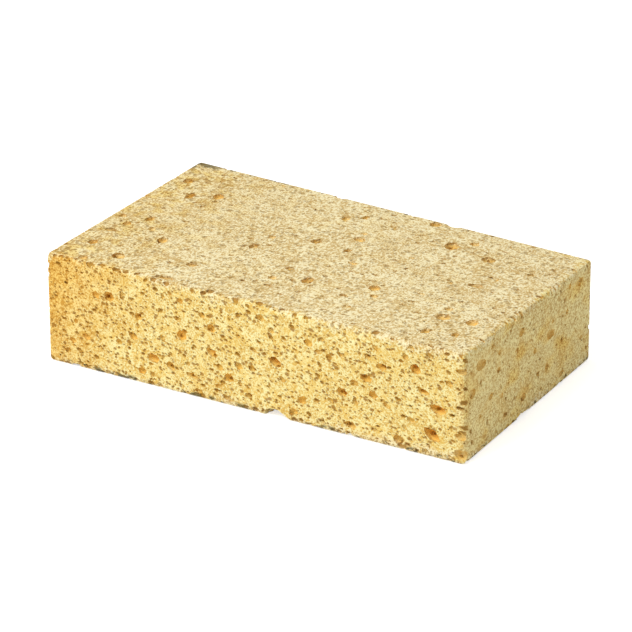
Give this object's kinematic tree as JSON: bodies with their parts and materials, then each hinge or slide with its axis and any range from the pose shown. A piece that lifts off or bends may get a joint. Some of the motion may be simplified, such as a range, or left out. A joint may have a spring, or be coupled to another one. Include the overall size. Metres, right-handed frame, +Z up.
{
  "type": "cellulose sponge",
  "caption": "Household cellulose sponge: a plain rectangular block of soft yellow foam with slightly rounded cut edges, open pores of mixed sizes in every face and a flat underside.",
  "frame": {"origin": "middle of the underside, on the surface that the sponge lies on", "axes": "+X along the block's length, +Y across its width, +Z up through its thickness"},
  "size_m": [0.1544, 0.0964, 0.039],
  "materials": {
    "cellulose_foam": "dry, matt, open-pored cellulose foam, bright yellow on its cut sides, paler and fuzzy on its top, deeper orange inside its pores"
  },
  "bodies": {
    "root": {"sponge": "cellulose_foam"}
  },
  "joints": []
}
